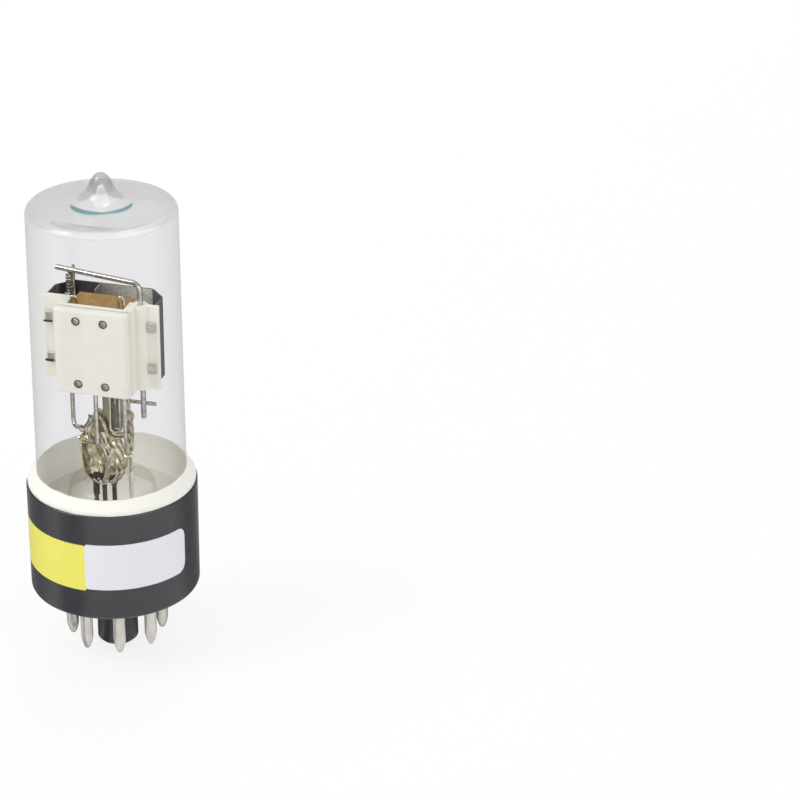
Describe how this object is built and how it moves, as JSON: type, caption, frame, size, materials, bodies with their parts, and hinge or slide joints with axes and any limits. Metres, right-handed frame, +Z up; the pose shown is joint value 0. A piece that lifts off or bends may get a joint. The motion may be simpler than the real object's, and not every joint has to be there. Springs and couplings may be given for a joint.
{
  "type": "deuterium lamp",
  "caption": "Deuterium arc lamp: a tubular glass bulb with a sealed tip round a ceramic electrode box on bent metal leads, cemented into a black octal plug base.",
  "frame": {"origin": "centre of the flat end of the guide post", "axes": "+Z up the lamp axis from the guide post to the sealed tip, +Y the way the light leaves through the window of the shield, -Y the rear ceramic plate, +X to the right seen from the rear"},
  "size_m": [0.0328, 0.0328, 0.0978],
  "materials": {
    "phenolic": "satin black moulded phenolic",
    "cement": "matt white basing cement",
    "glass": "clear polished glass",
    "ceramic": "matt cream alumina",
    "pin_metal": "bright nickel plate",
    "tinted_metal": "heat-tinted golden brown sheet",
    "dark_metal": "grey refractory sheet",
    "lead_metal": "oxidised lead wire",
    "nickel": "bright nickel"
  },
  "bodies": {
    "root": {"anode": "dark_metal", "anode_backing": "nickel", "aperture_plate": "dark_metal", "base_shell": "phenolic", "basing_cement": "cement", "bead_lead": "nickel", "cathode_coil": "dark_metal", "cathode_lead": "nickel", "cathode_sleeve": "nickel", "centre_lead": "nickel", "contact_pin_1": "pin_metal", "contact_pin_2": "pin_metal", "contact_pin_3": "pin_metal", "contact_pin_4": "pin_metal", "contact_pin_5": "pin_metal", "contact_pin_6": "pin_metal", "contact_pin_7": "pin_metal", "contact_pin_8": "pin_metal", "cover_plate": "tinted_metal", "cover_staple_left": "nickel", "cover_staple_right": "nickel", "cross_wire": "nickel", "fold_ribbon": "nickel", "glass_bulb": "glass", "hairpin_strip": "nickel", "lead_bead": "ceramic", "post_wire": "nickel", "rear_insulator": "ceramic", "rear_rivets": "nickel", "right_lead": "nickel", "shield_box": "dark_metal", "slit_partition": "dark_metal", "spacer_insulator": "ceramic", "stem_glass": "glass", "stem_lead_left": "lead_metal", "stem_lead_middle": "lead_metal", "stem_lead_right": "lead_metal", "stem_lead_side": "lead_metal", "support_rod": "nickel", "trough_left": "nickel", "trough_right": "nickel", "wave_strip": "nickel", "wide_ribbon": "nickel"}
  },
  "joints": []
}
